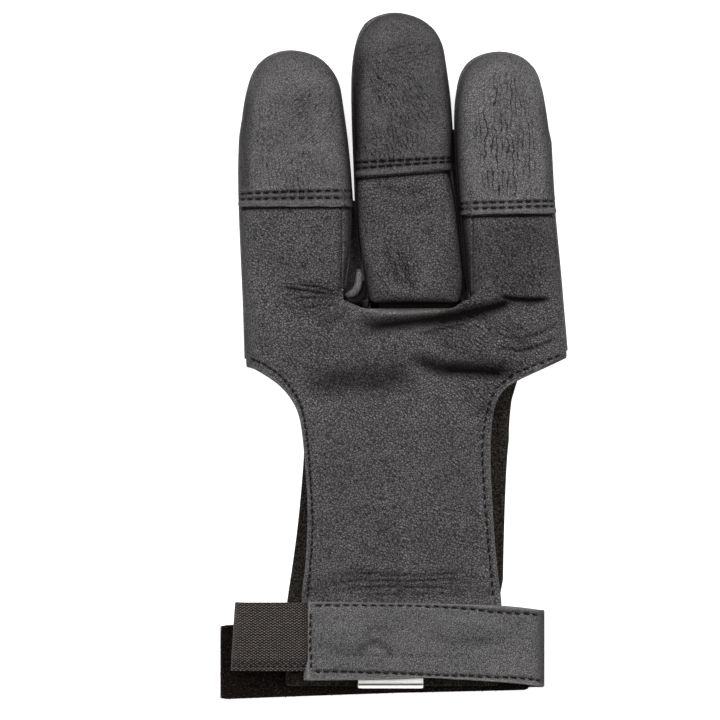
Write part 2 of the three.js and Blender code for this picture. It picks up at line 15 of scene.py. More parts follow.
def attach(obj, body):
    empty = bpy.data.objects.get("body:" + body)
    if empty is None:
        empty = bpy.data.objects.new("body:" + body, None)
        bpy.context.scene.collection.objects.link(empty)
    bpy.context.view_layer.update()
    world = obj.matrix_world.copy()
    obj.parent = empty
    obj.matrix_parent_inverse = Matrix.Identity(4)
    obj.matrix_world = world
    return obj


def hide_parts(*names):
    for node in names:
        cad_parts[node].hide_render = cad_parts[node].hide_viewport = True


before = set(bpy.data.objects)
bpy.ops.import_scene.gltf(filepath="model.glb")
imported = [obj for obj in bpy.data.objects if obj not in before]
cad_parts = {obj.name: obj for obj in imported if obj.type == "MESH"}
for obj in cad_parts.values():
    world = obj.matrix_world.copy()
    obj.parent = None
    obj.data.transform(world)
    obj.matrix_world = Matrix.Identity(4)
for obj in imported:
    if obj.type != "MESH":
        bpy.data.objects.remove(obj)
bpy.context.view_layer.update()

MM = 0.001
MERGE = 1e-6  # metres within which two corners of a solid are one
SHARP = 1.0  # radians past which an edge of a solid is a cut edge
FLAT = 1.1  # radians within which two triangles are joined
UPWARD = 0.12  # a face whose normal has more z than this looks up
SEAM_HEIGHT = 6.0  # where the front and the back of a finger meet


# Meshes from the solids

def merged_copy(solid):
    """A bmesh of a solid whose loose triangles are joined at their corners."""
    shape = bmesh.new()
    shape.from_mesh(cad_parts[solid].data)
    bmesh.ops.remove_doubles(shape, verts=shape.verts, dist=MERGE)
    return shape


def linked(name, data):
    """A new object in the scene."""
    thing = bpy.data.objects.new(name, data)
    bpy.context.scene.collection.objects.link(thing)
    return thing


def refined(solid, name, levels, longest=None, crisp=0.7):
    """A smooth copy of a solid. Its cut edges stay crisp, and the faces of its upper skin are cut
    down to cells of the longest edge."""
    shape = merged_copy(solid)
    bmesh.ops.join_triangles(
        shape, faces=shape.faces, angle_face_threshold=FLAT, angle_shape_threshold=FLAT)
    hardness = shape.edges.layers.float.new("crease_edge")
    for edge in shape.edges:
        if edge.calc_face_angle(0) > SHARP:
            edge[hardness] = crisp
    mesh = bpy.data.meshes.new(name)
    shape.to_mesh(mesh)
    shape.free()
    piece = linked(name, mesh)
    smooth = piece.modifiers.new("Smooth", "SUBSURF")
    smooth.levels = levels
    smooth.render_levels = levels
    depsgraph = bpy.context.evaluated_depsgraph_get()
    mesh = bpy.data.meshes.new_from_object(piece.evaluated_get(depsgraph))
    piece.modifiers.clear()
    piece.data = mesh
    if longest:
        shape = bmesh.new()
        shape.from_mesh(mesh)
        split_long(shape, longest * MM)
        shape.to_mesh(mesh)
        shape.free()
    for layer in ("custom_normal", "sharp_edge", "sharp_face"):
        if layer in mesh.attributes:
            mesh.attributes.remove(mesh.attributes[layer])
    mesh.shade_smooth()
    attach(piece, "root")
    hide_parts(solid)
    return piece


def split_long(shape, longest):
    """Halves the long edges of the faces that look up, until none is longer than wanted."""
    for _ in range(4):
        edges = set()
        for face in shape.faces:
            if face.normal.z > UPWARD:
                edges.update(e for e in face.edges if e.calc_length() > longest)
        if not edges:
            return
        bmesh.ops.subdivide_edges(shape, edges=list(edges), cuts=1, use_grid_fill=True)
        shape.normal_update()


def new_piece(name, shape, material):
    """An object from a bmesh that is already in place."""
    mesh = bpy.data.meshes.new(name)
    bmesh.ops.recalc_face_normals(shape, faces=shape.faces)
    shape.to_mesh(mesh)
    shape.free()
    mesh.shade_smooth()
    mesh.materials.append(material)
    piece = linked(name, mesh)
    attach(piece, "root")
    return piece


# Places on a mesh

def read(piece, what="co"):
    """A vertex property of a mesh as rows of three; places are in millimetres."""
    rows = np.empty(len(piece.data.vertices) * 3)
    piece.data.vertices.foreach_get(what, rows)
    rows = rows.reshape(-1, 3)
    return rows / MM if what == "co" else rows


def write(piece, places):
    """Puts the vertices at places in millimetres."""
    piece.data.vertices.foreach_set("co", (places * MM).ravel())
    piece.data.update()


def mark(piece, name, values):
    """Keeps a number from 0 to 1 for each vertex, which the materials read."""
    layer = piece.data.attributes.new(name, "FLOAT", "POINT")
    layer.data.foreach_set("value", np.clip(values, 0, 1).astype(np.float32))


def ease(values, low, high):
    """0 below low, 1 above high, and a smooth step between."""
    t = np.clip((values - low) / (high - low), 0, 1)
    return t * t * (3 - 2 * t)


def away(places, line):
    """Distance of each place from a line of points, and the share of the line where it is nearest."""
    line = [np.array(p, float) for p in line]
    lengths = [np.linalg.norm(b - a) for a, b in zip(line, line[1:])]
    nearest = np.full(len(places), 1e9)
    share = np.zeros(len(places))
    run = 0
    for a, b, length in zip(line, line[1:], lengths):
        t = np.clip((places - a) @ (b - a) / length ** 2, 0, 1)
        distance = np.linalg.norm(places - a - t[:, None] * (b - a), axis=1)
        closer = distance < nearest
        nearest[closer] = distance[closer]
        share[closer] = ((run + t * length) / sum(lengths))[closer]
        run += length
    return nearest, share


def groove(places, line, width, taper=0.25):
    """1 on a line and 0 away from it, fading at both ends."""
    distance, share = away(places[:, :2], line)
    ends = ease(share, 0, taper) * ease(1 - share, 0, taper) if taper else 1
    return np.exp(-(distance / width) ** 2) * ends


def patch(places, middle, reach, turn=0.0):
    """A soft oval spot: 1 in the middle, 0 beyond its reach."""
    c, s = math.cos(math.radians(turn)), math.sin(math.radians(turn))
    x = places[:, 0] - middle[0]
    y = places[:, 1] - middle[1]
    u = (x * c + y * s) / reach[0]
    v = (-x * s + y * c) / reach[1]
    return ease(1 - np.hypot(u, v), 0, 0.7)


def swells(places, size, seed):
    """Smooth bumps and hollows of about the size given, from -1 to 1."""
    return np.array([
        noise.noise(Vector((x / size + seed * 7.3, y / size - seed * 3.1, z * 0.3 / size)))
        for x, y, z in places])


def near_lines(places, pairs, width, margin):
    """1 on the straight lines between pairs of points and 0 away from them. Places further off than
    margin times the width aren't looked at."""
    near = np.zeros(len(places))
    for a, b in pairs:
        low = np.minimum(a, b) - margin * width
        high = np.maximum(a, b) + margin * width
        close = np.nonzero(np.all((places > low) & (places < high), axis=1))[0]
        if len(close):
            distance, _ = away(places[close], [a, b])
            near[close] = np.maximum(near[close], np.exp(-(distance / width) ** 2))
    return near


def rim_nearness(piece, solid, reach):
    """1 along the cut edges of a leather part and 0 further than reach from them."""
    shape = merged_copy(solid)
    pairs = [[np.array(v.co) / MM for v in edge.verts]
             for edge in shape.edges if edge.calc_face_angle(0) >= SHARP]
    shape.free()
    return near_lines(read(piece), pairs, reach, 2)


def lay_creases(piece, fields):
    """Tells the leather where it is finely creased and which way. A field has its middle, reach and
    turn, then the creases' direction, spacing, length against spacing, bend, and strength."""
    places = read(piece)
    best = np.zeros(len(places))
    second = np.zeros(len(places))
    laid = np.zeros((len(places), 3))
    for number, field in enumerate(fields):
        middle, reach, turn, direction, spacing, stretch, bend, strength = field
        near = strength * np.minimum(1.6 * patch(places, middle, reach, turn), 1)
        c, s = math.cos(math.radians(direction)), math.sin(math.radians(direction))
        x = places[:, 0] - middle[0]
        y = places[:, 1] - middle[1]
        along = x * c + y * s
        across = -x * s + y * c + bend * along ** 2
        row = np.stack([across / spacing + 11.3 * number, along / (spacing * stretch),
                        along / (spacing * 1.7)], 1)
        better = near > best
        second = np.where(better, best, np.maximum(second, near))
        best = np.where(better, near, best)
        laid[better] = row[better]
    mark(piece, "wrinkle", best * ease((best - second) / np.maximum(best, 1e-6), 0, 0.35))
    layer = piece.data.attributes.new("lay", "FLOAT_VECTOR", "POINT")
    layer.data.foreach_set("vector", laid.astype(np.float32).ravel())


# Stitches

SEAM_STEP = 0.12  # between the spots where a seam is laid on its piece
DIP_DEPTH = 0.34
DIP_WIDTH = 0.32
THREAD_SLANT = -14  # degrees by which a stitch lies across its row
THREAD_LIFT = 0.06


def tree_of(piece):
    """A piece's faces, for rays and nearest places."""
    shape = bmesh.new()
    shape.from_mesh(piece.data)
    tree = BVHTree.FromBMesh(shape)
    shape.free()
    return tree


def seam(piece, line, pitch, length, start=0.4):
    """Stitches along a line, laid on the piece from above: ends and normal of each, in millimetres."""
    tree = tree_of(piece)
    spots = []
    for a, b in zip(line, line[1:]):
        steps = max(1, int(math.dist(a, b) / SEAM_STEP))
        for k in range(steps):
            x = a[0] + (b[0] - a[0]) * k / steps
            y = a[1] + (b[1] - a[1]) * k / steps
            hit, normal, _, _ = tree.ray_cast(Vector((x, y, 40)) * MM, Vector((0, 0, -1)))
            if hit:
                spots.append((hit / MM, normal))
    run = [0.0]
    for (a, _), (b, _) in zip(spots, spots[1:]):
        run.append(run[-1] + (b - a).length)
    stitches = []
    at = start * pitch
    while at + length < run[-1]:
        ends = [spots[int(np.searchsorted(run, s))] for s in (at, at + length)]
        middle = spots[int(np.searchsorted(run, at + length / 2))]
        stitches.append((ends[0][0], ends[1][0], middle[1]))
        at += pitch
    return stitches


def threads(name, sewn, width):
    """The visible thread of each stitch: a short strand whose ends dip into the leather."""
    shape = bmesh.new()
    dice = random.Random(len(name))
    for piece, stitches in sewn:
        tree = tree_of(piece)
        for a, b, normal in stitches:
            hit, _, _, _ = tree.find_nearest((a + b) / 2 * MM)
            along = (b - a).normalized()
            side = normal.cross(along).normalized()
            up = along.cross(side)
            turn = Matrix((along, side, up)).transposed().to_4x4()
            slant = math.radians(THREAD_SLANT + dice.uniform(-4, 4))
            turn = turn @ Matrix.Rotation(slant, 4, "Z")
            half = ((b - a).length / 2 + 0.06, width / 2, width * 0.4)
            size = Matrix.Diagonal((*(h * MM for h in half), 1))
            place = Matrix.Translation(hit + up * THREAD_LIFT * MM)
            bmesh.ops.create_uvsphere(
                shape, u_segments=6, v_segments=6, radius=1,
                matrix=place @ turn @ size @ Matrix.Rotation(math.pi / 2, 4, "Y"))
    return new_piece(name, shape, black_thread)


# Materials

def linear(text):
    """A colour from its sRGB hex value."""
    parts = [int(text[k:k + 2], 16) / 255 for k in (0, 2, 4)]
    return (*(p / 12.92 if p <= 0.04045 else ((p + 0.055) / 1.055) ** 2.4 for p in parts), 1)


def add(tree, kind, sockets=None, out=0, **settings):
    """Adds a node and gives one of its outputs. sockets holds values, or the outputs that feed it."""
    made = tree.nodes.new("ShaderNode" + kind)
    for name, value in settings.items():
        setattr(made, name, value)
    for name, value in (sockets or {}).items():
        if isinstance(value, bpy.types.NodeSocket):
            tree.links.new(value, made.inputs[name])
        else:
            made.inputs[name].default_value = value
    return made.outputs[out] if made.outputs else made


def started(name):
    """An empty material, its nodes and its Object coordinates."""
    material = bpy.data.materials.new(name)
    material.use_nodes = True
    tree = material.node_tree
    tree.nodes.clear()
    return material, tree, add(tree, "TexCoord", out="Object")


def ended(tree, surface, height, depth):
    """Closes a material with its relief, in metres, and its shader."""
    bump = add(tree, "Bump", {"Height": height, "Distance": depth, "Strength": 1.0})
    shader = add(tree, "BsdfPrincipled", {**surface, "Normal": bump})
    add(tree, "OutputMaterial", {"Surface": shader})


def leather(name, dark, light, raw_and_highlight, grain, depth, rough, spots, walls=0.5):
    """Chrome-tanned leather with a pressed grain: pebbles of the grain's size in millimetres that lie
    across the hide, fine dark valleys between them, long creases where it has been bent, painted
    shade in the folds, creases and shaded places, which also dulls their reflection, paler fibres
    where it was cut, and painted highlights along given lines."""
    material, tree, place = started(name)
    laid = add(tree, "Mapping", {
        "Vector": place, "Rotation": (0, 0, math.radians(-42)), "Scale": (1.7, 1, 1)},
        vector_type="TEXTURE")
    warp = add(tree, "TexNoise", {
        "Vector": place, "Scale": 1 / (3 * grain * MM), "Detail": 2.0}, "Color")
    bent = add(tree, "VectorMath", {0: warp, 1: [1.2 * grain * MM] * 3, 2: laid},
               operation="MULTIPLY_ADD")
    edge = add(tree, "TexVoronoi", {"Vector": bent, "Scale": 1 / (grain * MM)},
               feature="DISTANCE_TO_EDGE")
    pebble = add(tree, "MapRange", {"Value": edge, "From Max": 0.3}, interpolation_type="SMOOTHSTEP")
    pores = add(tree, "TexNoise", {
        "Vector": bent, "Scale": 1 / (0.5 * grain * MM), "Detail": 4.0, "Roughness": 0.7})
    grained = add(tree, "Math", {0: pebble, 1: 0.55, 2: pores}, operation="MULTIPLY_ADD")

    lay = add(tree, "Attribute", out="Vector", attribute_name="lay")
    wander = add(tree, "TexNoise", {"Vector": lay, "Scale": 0.6, "Detail": 3.0}, "Color")
    strayed = add(tree, "VectorMath", {0: wander, 1: (2.4, 0, 1.2), 2: lay},
                  operation="MULTIPLY_ADD")
    beside = add(tree, "SeparateXYZ", {"Vector": strayed}, "X")
    beside = add(tree, "Math", {0: beside, 1: 0.5}, operation="PINGPONG")
    line = add(tree, "MapRange", {
        "Value": beside, "From Min": 0.05, "From Max": 0.17, "To Min": 1.0, "To Max": 0.0})
    wane = add(tree, "TexNoise", {"Vector": lay, "Scale": 0.45, "Detail": 1.0})
    wane = add(tree, "MapRange", {"Value": wane, "From Min": 0.36, "From Max": 0.5})
    line = add(tree, "Math", {0: line, 1: wane}, operation="MULTIPLY")
    web = add(tree, "TexVoronoi", {"Vector": strayed, "Scale": 1.0}, feature="DISTANCE_TO_EDGE")
    web = add(tree, "MapRange", {
        "Value": web, "From Min": 0.01, "From Max": 0.12, "To Min": 0.4, "To Max": 0.0})
    line = add(tree, "Math", {0: line, 1: web}, operation="MAXIMUM")
    wrinkle = add(tree, "Attribute", out="Fac", attribute_name="wrinkle")
    line = add(tree, "Math", {0: line, 1: wrinkle}, operation="MULTIPLY")
    height = add(tree, "Math", {0: line, 1: -1.2, 2: grained}, operation="MULTIPLY_ADD")

    blotches = add(tree, "TexNoise", {
        "Vector": place, "Scale": 1 / (spots * MM), "Detail": 3.0})
    shade = add(tree, "MapRange", {"Value": blotches, "From Min": 0.35, "From Max": 0.65})
    tone = add(tree, "Mix", {0: shade, 6: linear(dark), 7: linear(light)}, 2, data_type="RGBA")
    specks = add(tree, "MapRange", {
        "Value": grained, "From Min": 0.45, "From Max": 1.1, "To Min": 1 - walls,
        "To Max": 1 + walls})
    tone = add(tree, "Mix", {0: 1.0, 6: tone, 7: specks}, 2, data_type="RGBA",
               blend_type="MULTIPLY")
    # Painted shade: the crease attribute and the fine crease lines darken the tone, dull the
    # reflection and roughen the leather.
    crease = add(tree, "Attribute", out="Fac", attribute_name="crease")
    crease = add(tree, "Math", {0: line, 1: 0.95, 2: crease}, operation="MULTIPLY_ADD",
                 use_clamp=True)
    shine = add(tree, "MapRange", {
        "Value": grained, "From Min": 0.45, "From Max": 1.05, "To Min": 1 - walls})
    shine = add(tree, "Mix", {0: crease, 2: shine, 3: 0.04})
    tone = add(tree, "Mix", {0: crease, 6: tone, 7: linear("070404")}, 2, data_type="RGBA")
    # Paler raw fibres at the cut edges, and a painted highlight along given lines.
    pale_and_highlight = add(tree, "Attribute", out="Fac", attribute_name="pale_and_highlight")
    tone = add(tree, "Mix", {0: pale_and_highlight, 6: tone, 7: linear(raw_and_highlight)}, 2, data_type="RGBA")
    polish = add(tree, "MapRange", {
        "Value": grained, "From Min": 0.4, "From Max": 1.05, "To Min": rough + 0.14,
        "To Max": rough - 0.06})
    polish = add(tree, "Math", {0: crease, 1: 0.35, 2: polish}, operation="MULTIPLY_ADD",
                 use_clamp=True)
    ended(tree, {"Base Color": tone, "Roughness": polish, "IOR": 1.5, "Specular IOR Level": 1.0,
                 "Specular Tint": shine}, height, depth * MM)
    return material


def brushed(name, dark, light, fibre, sheen, depth=0.25, bare=0.44):
    """Brushed cloth and pile: matt, with short fibres that catch a little light. bare is the level
    of the noise under which the ground stays dark."""
    material, tree, place = started(name)
    fuzz = add(tree, "TexNoise", {
        "Vector": place, "Scale": 1 / (fibre * MM), "Detail": 4.0, "Roughness": 0.8})
    share = add(tree, "MapRange", {"Value": fuzz, "From Min": bare, "From Max": bare + 0.26})
    tone = add(tree, "Mix", {0: share, 6: linear(dark), 7: linear(light)}, 2, data_type="RGBA")
    ended(tree, {"Base Color": tone, "Roughness": 0.95, "Sheen Weight": sheen, "IOR": 1.5,
                 "Sheen Roughness": 0.5, "Specular IOR Level": 0.08}, fuzz, depth * MM)
    return material


def webbing(name, dark, light, rib, row):
    """Covered-rubber elastic: fine ribs across the band, each a chain of knit loops that sit half a
    loop higher on every second rib, and bright specks where the polyester turns."""
    material, tree, place = started(name)
    warp = add(tree, "TexNoise", {"Vector": place, "Scale": 1 / (1.2 * MM), "Detail": 2.0}, "Color")
    shaken = add(tree, "VectorMath", {0: warp, 1: [0.35 * MM] * 3, 2: place},
                 operation="MULTIPLY_ADD")
    x = add(tree, "SeparateXYZ", {"Vector": shaken}, "X")
    y = add(tree, "SeparateXYZ", {"Vector": shaken}, "Y")
    turns = add(tree, "Math", {0: x, 1: 2 * math.pi / (rib * MM)}, operation="MULTIPLY")
    ribs = add(tree, "Math", {0: turns}, operation="SINE")
    shift = add(tree, "Math", {0: ribs, 1: 1.6}, operation="MULTIPLY")
    rows = add(tree, "Math", {0: y, 1: 2 * math.pi / (row * MM), 2: shift},
               operation="MULTIPLY_ADD")
    loops = add(tree, "Math", {0: rows}, operation="SINE")
    crests = add(tree, "Math", {0: ribs}, operation="ABSOLUTE")
    loops = add(tree, "Math", {0: loops, 1: crests}, operation="MULTIPLY")
    fuzz = add(tree, "TexNoise", {
        "Vector": place, "Scale": 1 / (0.5 * MM), "Detail": 3.0, "Roughness": 0.75})
    height = add(tree, "Math", {0: fuzz, 1: 2.0, 2: loops}, operation="MULTIPLY_ADD")
    share = add(tree, "MapRange", {"Value": height, "From Min": 1.0, "From Max": 1.8})
    tone = add(tree, "Mix", {0: share, 6: linear(dark), 7: linear(light)}, 2, data_type="RGBA")
    # The crease attribute is painted shade: in the eyelets, between the top edge's loops and where the
    # band turns down.
    crease = add(tree, "Attribute", out="Fac", attribute_name="crease")
    tone = add(tree, "Mix", {0: crease, 6: tone, 7: linear("030202")}, 2, data_type="RGBA")
    ended(tree, {"Base Color": tone, "Roughness": 0.85, "Sheen Weight": 0.05, "IOR": 1.5,
                 "Specular IOR Level": 0.25}, height, 0.08 * MM)
    return material


def ribbon(name, dark, light, thread):
    """Woven satin ribbon: fine warp and weft threads, slightly silky, with painted shadow where it is
    folded.
    """
    material, tree, place = started(name)
    turned = add(tree, "VectorMath", {0: place, 1: [2 * math.pi / (thread * MM)] * 3},
                 operation="MULTIPLY")
    warp = add(tree, "SeparateXYZ", {
        "Vector": add(tree, "VectorMath", {0: turned}, operation="SINE")}, "X")
    weft = add(tree, "SeparateXYZ", {
        "Vector": add(tree, "VectorMath", {0: turned}, operation="SINE")}, "Y")
    fuzz = add(tree, "TexNoise", {"Vector": place, "Scale": 1 / (0.6 * MM), "Detail": 3.0})
    height = add(tree, "Math", {0: warp, 1: weft, 2: fuzz}, operation="MULTIPLY_ADD")
    share = add(tree, "MapRange", {"Value": height, "From Min": -0.4, "From Max": 1.2})
    tone = add(tree, "Mix", {0: share, 6: linear(dark), 7: linear(light)}, 2, data_type="RGBA")
    crease = add(tree, "Attribute", out="Fac", attribute_name="crease")
    tone = add(tree, "Mix", {0: crease, 6: tone, 7: linear("140f0c")}, 2, data_type="RGBA")
    ended(tree, {"Base Color": tone, "Roughness": 0.6, "IOR": 1.5}, height, 0.05 * MM)
    return material


def bonded_thread(name, dark, light, ply):
    """Bonded polyester sewing thread: nearly black and matt, its plies hardly seen."""
    material, tree, place = started(name)
    twist = add(tree, "TexNoise", {"Vector": place, "Scale": 1 / (ply * MM), "Detail": 2.0})
    tone = add(tree, "Mix", {0: twist, 6: linear(dark), 7: linear(light)}, 2, data_type="RGBA")
    ended(tree, {"Base Color": tone, "Roughness": 0.8, "IOR": 1.5, "Specular IOR Level": 0.15},
          twist, 0.05 * MM)
    return material


palm_hide = leather("Pebbled black cowhide", "1b1818", "282425", "474444", 0.54, 0.16, 0.5, 13, 0.82)
tip_hide = leather("Smooth black calf", "262424", "373434", "555251", 0.44, 0.1, 0.42, 12, 0.68)
back_hide = leather("Black cowhide of the backs", "1c1a1a", "282526", "403d3d", 0.54, 0.14, 0.5, 15)
strap_hide = leather("Smooth black strap leather", "201e1f", "322f30", "5c5857", 0.44, 0.1, 0.43,
                     18, 0.72)
# Nearly black leather that stands in for the deep shade in the crotches between the fingers.
shade_black_hide = leather("Leather painted black as shade", "030202", "050404", "080606", 0.5, 0.1, 0.9, 8)
back_cloth = brushed("Brushed black backing cloth", "060505", "4a443e", 0.45, 0.04, 0.25, 0.46)
pile_cloth = brushed("Black loop pile", "020101", "5e4a3d", 0.5, 0.02, 0.4, 0.53)
hook_cloth = brushed("Black hook tape", "0c0b0b", "1f1d1c", 0.5, 0.0)
elastic_cloth = webbing("Black covered elastic", "020101", "564f4b", 1.3, 0.8)
label_cloth = ribbon("White satin ribbon", "cfc5bf", "ffffff", 0.42)
black_thread = bonded_thread("Black polyester thread", "020101", "060505", 0.3)


# Leather relief

def shut_in(places):
    """1 on the seam allowances between the fingers and on the flange under the palm's rim, where
    hardly any light falls."""
    x, y, z = places.T
    left = np.interp(y, (18, 25), (-15.6, -13.2))
    gaps = ((x > left) & (x < -9.6)) | (np.abs(x - 19.0) < 3.5)
    gaps = gaps * ease(7.8 - z, 0, 0.8) * ease(y - 12, 0, 2) * ease(72 - y, 0, 10)
    flange = (x > -12) * (x < 18.5) * ease(y - 14.1, 0, 0.3) * ease(16.6 - y, 0, 0.6)
    return np.maximum(gaps, flange * ease(9.0 - z, 0, 0.6))


def dress(piece, solid, material, rule, stitches=(), puff=0.1, rim=0.4, side_shade=0.6, highlight_lines=()):
    """Gives a refined part its folds, creases and stitch dimples, and its material. rule returns, for
    each place, how far both skins move up, how deep the upper skin is creased, and how much painted
    shade lies in its folds, creases and shadows; puff is how far the faces stand out from the solid;
    rim is how wide its cut edges are paler; then come how dark the painted shade lies where a finger
    turns down, and lines of painted highlight: line, width, strength."""
    places = read(piece)
    normals = read(piece, "normal")
    up = ease(normals[:, 2], 0.02, 0.25)
    lift, crease, painted_shade = rule(places, up)
    sewn = [(np.array(a), np.array(b)) for a, b, _ in stitches]
    dips = near_lines(places, sewn, DIP_WIDTH, 3)
    height = np.clip((places[:, 2] - SEAM_HEIGHT) / 3, 0, 1)
    moved = places + normals * (puff - (crease + DIP_DEPTH * dips) * up)[:, None]
    moved[:, 2] = np.maximum(moved[:, 2] + lift * height, 0)
    write(piece, moved)
    turned = 1 - ease(normals[:, 2], 0.25, 0.96)
    # Painted shade: the rule's shade, the stitch dimples, the sides that turn down and the shut-in
    # gaps all darken the leather.
    mark(piece, "crease",
         (painted_shade + 0.85 * dips ** 1.5) * up + side_shade * turned + 1.2 * shut_in(places))
    # Cut edges are paler; the given lines add a painted highlight.
    paleness_and_highlight = 0.5 * rim_nearness(piece, solid, rim) * (1 - np.clip(1.5 * painted_shade, 0, 1))
    for line, width, strength in highlight_lines:
        paleness_and_highlight = paleness_and_highlight + strength * groove(places, line, width) * up
    mark(piece, "pale_and_highlight", paleness_and_highlight)
    piece.data.materials.clear()
    piece.data.materials.append(material)


def folded(places, folds):
    """Depth and painted shade of a list of folds: line, width, depth of both skins, darkness of the
    painted shade.
    """
    depths = np.zeros(len(places))
    painted_shade = np.zeros(len(places))
    for line, width, depth, darkness in folds:
        fold = groove(places, line, width)
        depths += depth * fold
        painted_shade = np.maximum(painted_shade, darkness * fold)
    return depths, painted_shade


def domed(places, domes):
    """Height of a list of soft bulges and hollows: middle, reach, turn, height."""
    return sum(height * patch(places, middle, reach, turn) for middle, reach, turn, height in domes)


# The tips' lower edges, whose shadow falls on the finger fronts
LIPS = {
    "left": [(-47.0, 45.6), (-31.0, 45.7), (-12.6, 45.8)],
    "middle": [(-12.5, 54.2), (3.0, 55.4), (18.0, 56.8)],
    "right": [(18.0, 42.9), (34.0, 43.3), (49.0, 43.6)],
}


def lip_shadow(places, line):
    """1 in the narrow shadow under a tip's lower edge."""
    return groove(places, [(x, y - 1.6) for x, y in line], 0.5, 0)


# The palm with the fronts of the outer fingers. A fold has its line, width, depth and painted
# shade's darkness, a dome its middle, reach, turn and height, and a crease what lay_creases says.

PALM_FOLDS = [
    ([(-15.7, 10.4), (-5.2, 8.9), (0.6, 9.5), (5.7, 10.1), (12.3, 10.9), (19.8, 11.9), (26.1, 13.4),
      (32.1, 15.2), (36.5, 16.4)], 1.8, 1.5, 1.0),
    ([(8.0, 10.0), (14.7, 10.6), (21.3, 12.4), (27.9, 13.9), (32.7, 15.4), (38.0, 17.4)],
     1.3, 0.9, 1.1),
    ([(6.0, 5.6), (13.8, 8.2), (22.0, 9.4)], 0.6, 0.5, 0.5),
    ([(30.2, 18.0), (35.4, 16.9), (41.1, 16.5), (48.0, 17.0)], 0.7, 0.9, 1.1),
    ([(35.4, 16.4), (41.1, 15.9), (45.0, 16.2)], 1.2, 0.5, 0.4),
    ([(20.6, 21.6), (23.2, 18.2), (24.6, 20.0)], 0.4, 0.5, 0.7),
    ([(3.0, -0.6), (13.8, -4.0), (19.9, -4.2), (27.3, -4.7), (33.4, -5.4), (38.5, -7.0)],
     1.8, 1.7, 0.85),
    ([(11.0, -4.6), (19.9, -4.6), (27.3, -4.9), (36.2, -6.2)], 1.0, 0.8, 1.1),
    ([(30.6, 2.8), (37.4, 1.4), (41.6, 2.4), (46.5, 4.2), (50.0, 7.0)], 0.5, 0.35, 0.6),
    ([(31.0, 6.6), (38.0, 4.8), (44.0, 6.6), (50.0, 10.5)], 0.6, 0.3, 0.4),
    ([(-29.0, -10.6), (-15.6, -8.2), (-6.4, -7.8), (2.0, -6.4), (9.0, -5.2)], 3.4, 1.1, 0.55),
    ([(-15.6, 18.4), (-22.0, 20.4), (-31.0, 21.6)], 0.38, 0.3, 0.6),
    ([(-15.6, 18.0), (-24.0, 19.0), (-35.0, 20.6)], 0.4, 0.4, 0.75),
    ([(-16.0, 17.0), (-23.0, 17.4), (-32.0, 17.2)], 0.38, 0.3, 0.5),
    ([(-16.0, 15.4), (-22.0, 15.0), (-30.0, 13.6)], 0.45, 0.25, 0.4),
    ([(-13.0, 13.4), (-17.0, 10.6), (-24.0, 9.0)], 1.4, 0.5, 0.35),
    ([(23.7, -37.4), (24.0, -47.9), (23.4, -58.4)], 0.35, 0.12, 0.1),
    ([(-22.0, -66.8), (-8.0, -65.2), (8.0, -66.0), (20.0, -65.0), (28.0, -66.9)], 0.6, 0.3, 0.3),
    ([(-23.0, -69.0), (-12.0, -67.2), (4.0, -67.6), (18.0, -67.0), (28.0, -69.4)], 0.45, 0.35, 0.4),
    ([(-23.0, -70.9), (-6.0, -69.1), (12.0, -69.3), (28.0, -71.0)], 0.4, 0.3, 0.4),
    ([(-14.0, -72.4), (0.0, -71.4), (18.0, -71.6), (28.0, -73.0)], 0.4, 0.25, 0.3),
]
PALM_DOMES = [
    ((-30, 36), (11, 13), 0, 0.5), ((40, 28), (9, 14), 0, 0.4), ((-22, 2), (20, 8), -12, 0.6),
    ((26, 3.5), (22, 5.5), -20, 0.8), ((2, -28), (24, 16), 0, 0.5), ((41, 10), (9, 4), 0, 0.5),
    ((2, -55), (22, 11), 0, -0.4), ((-36, 8), (10, 7), 20, 0.4), ((24, 28), (4, 10), 0, -0.4),
]
PALM_CREASES = [
    ((28, 4.0), (22, 11.0), -20, -29, 1.2, 5, 0.01, 0.7),
    ((2, -68.0), (36, 7.5), 0, 2, 1.3, 5, 0.0, 0.45),
    ((-26, 17.0), (18, 9.0), -4, -8, 1.2, 5, 0.004, 0.55),
    ((37, 31), (14, 18), 0, -48, 1.2, 3.0, 0.01, 0.4),
    ((-30, 35), (17, 16), 0, -42, 1.2, 3.0, 0.0, 0.3),
    ((-16, 0), (34, 11), -4, -52, 1.2, 3.0, 0.0, 0.3),
    ((0, -26), (32, 30), 0, -38, 1.3, 2.6, 0.0, 0.3),
    ((4, -53), (34, 16), 0, -15, 1.3, 3.0, 0.0, 0.35),
    ((27, -12), (12, 9), -40, -42, 1.2, 4, 0.0, 0.6),
]
PALM_ROWS = {
    "left": [(-43.2, -0.8), (-39.6, -2.4), (-35.4, -5.0), (-31.5, -8.7), (-28.6, -13.1),
             (-27.1, -17.6), (-26.2, -23.0), (-25.6, -28.4), (-24.9, -38.3), (-24.3, -49.4),
             (-24.6, -56.9), (-25.3, -65.9), (-25.9, -72.8)],
    "right": [(50.4, 0.3), (43.8, -2.3), (35.6, -5.6), (30.3, -10.1), (28.2, -15.5), (27.1, -20.3),
              (26.4, -26.3), (26.3, -30.8), (26.7, -35.9), (27.1, -42.2), (27.5, -47.0),
              (28.1, -55.4), (29.1, -65.9), (29.7, -73.4)],
}


def palm_rule(places, up):
    # Painted shade in the folds and under the tips' lower edges.
    depths, painted_shade = folded(places, PALM_FOLDS)
    lift = 0.3 * swells(places, 13, 1) + 0.14 * swells(places, 5.5, 2)
    painted_shade = painted_shade + lip_shadow(places, LIPS["left"]) + lip_shadow(places, LIPS["right"])
    # Painted shade over the right finger's front.
    painted_shade = painted_shade + 0.22 * patch(places, (38, 28), (22, 26))
    return lift + domed(places, PALM_DOMES) - depths, 0.0, painted_shade


